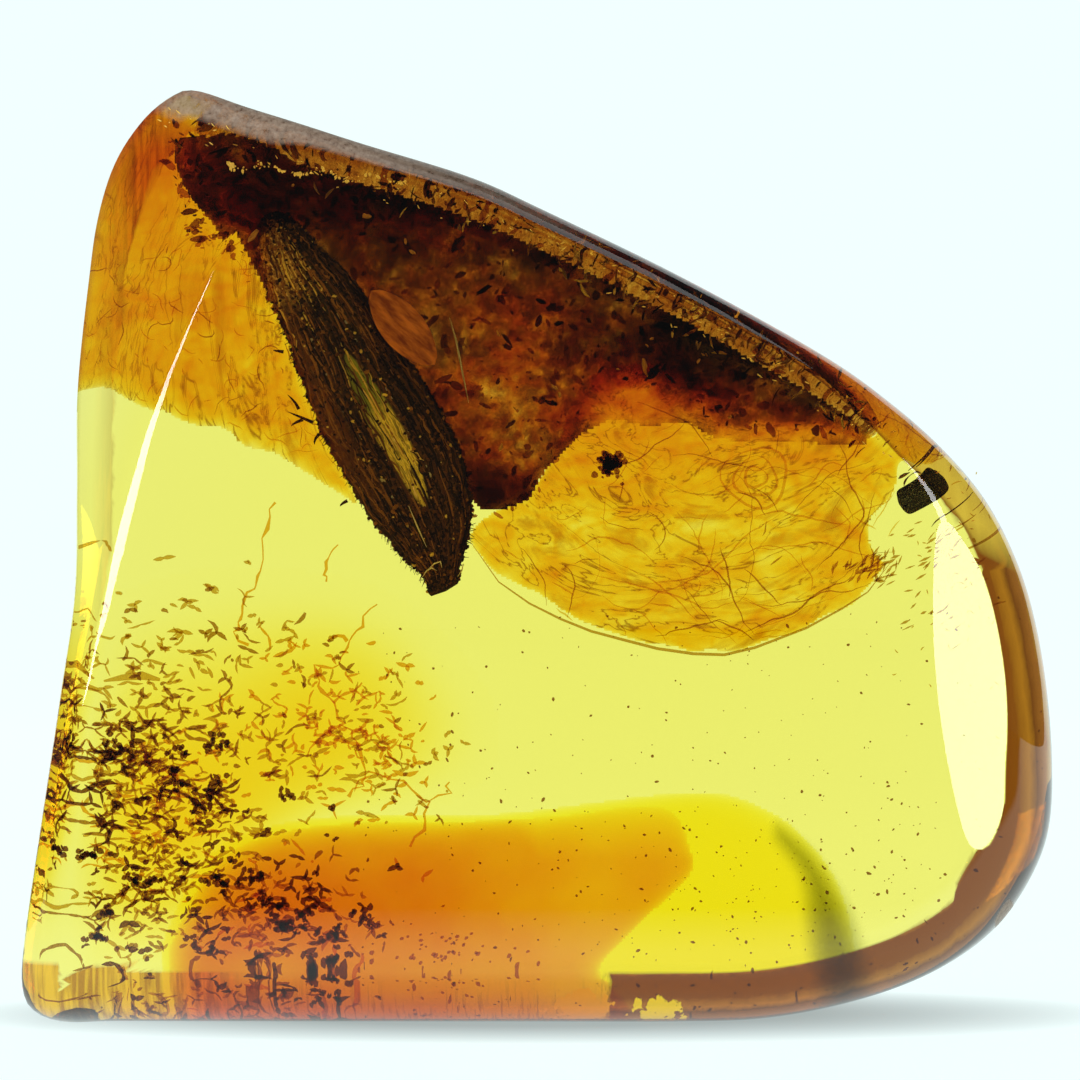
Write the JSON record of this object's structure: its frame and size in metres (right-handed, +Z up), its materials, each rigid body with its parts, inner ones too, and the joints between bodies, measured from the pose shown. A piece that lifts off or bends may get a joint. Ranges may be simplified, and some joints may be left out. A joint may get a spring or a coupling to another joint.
{
  "type": "insect in amber",
  "caption": "Polished piece of clear golden amber with a dark insect, bark debris and a frass pellet sealed inside, standing on its flat lower edge.",
  "frame": {"origin": "on the surface that the piece stands on, below the middle of its bounding box", "axes": "+Z up, +X to the right as seen from the front, the front face looks along -Y"},
  "size_m": [0.0202, 0.0078, 0.0182],
  "materials": {
    "amber": "clear polished golden amber, lemon yellow where thin and orange-brown where deep",
    "gold_resin": "older, deeper gold resin inside the clear amber, with no surface of its own",
    "insect": "dark brown granular husk with lengthwise ribs and an olive-gold window",
    "bark": "crumbled dark red-brown bark soaked with resin",
    "frass": "dull dark grey pressed grains"
  },
  "bodies": {
    "root": {"amber_front": "amber", "amber_back": "amber", "gold_lens": "gold_resin", "left_gold_flow": "gold_resin", "lower_gold_flow": "gold_resin", "insect": "insect", "bark_debris": "bark", "frass_pellet": "frass"}
  },
  "joints": []
}
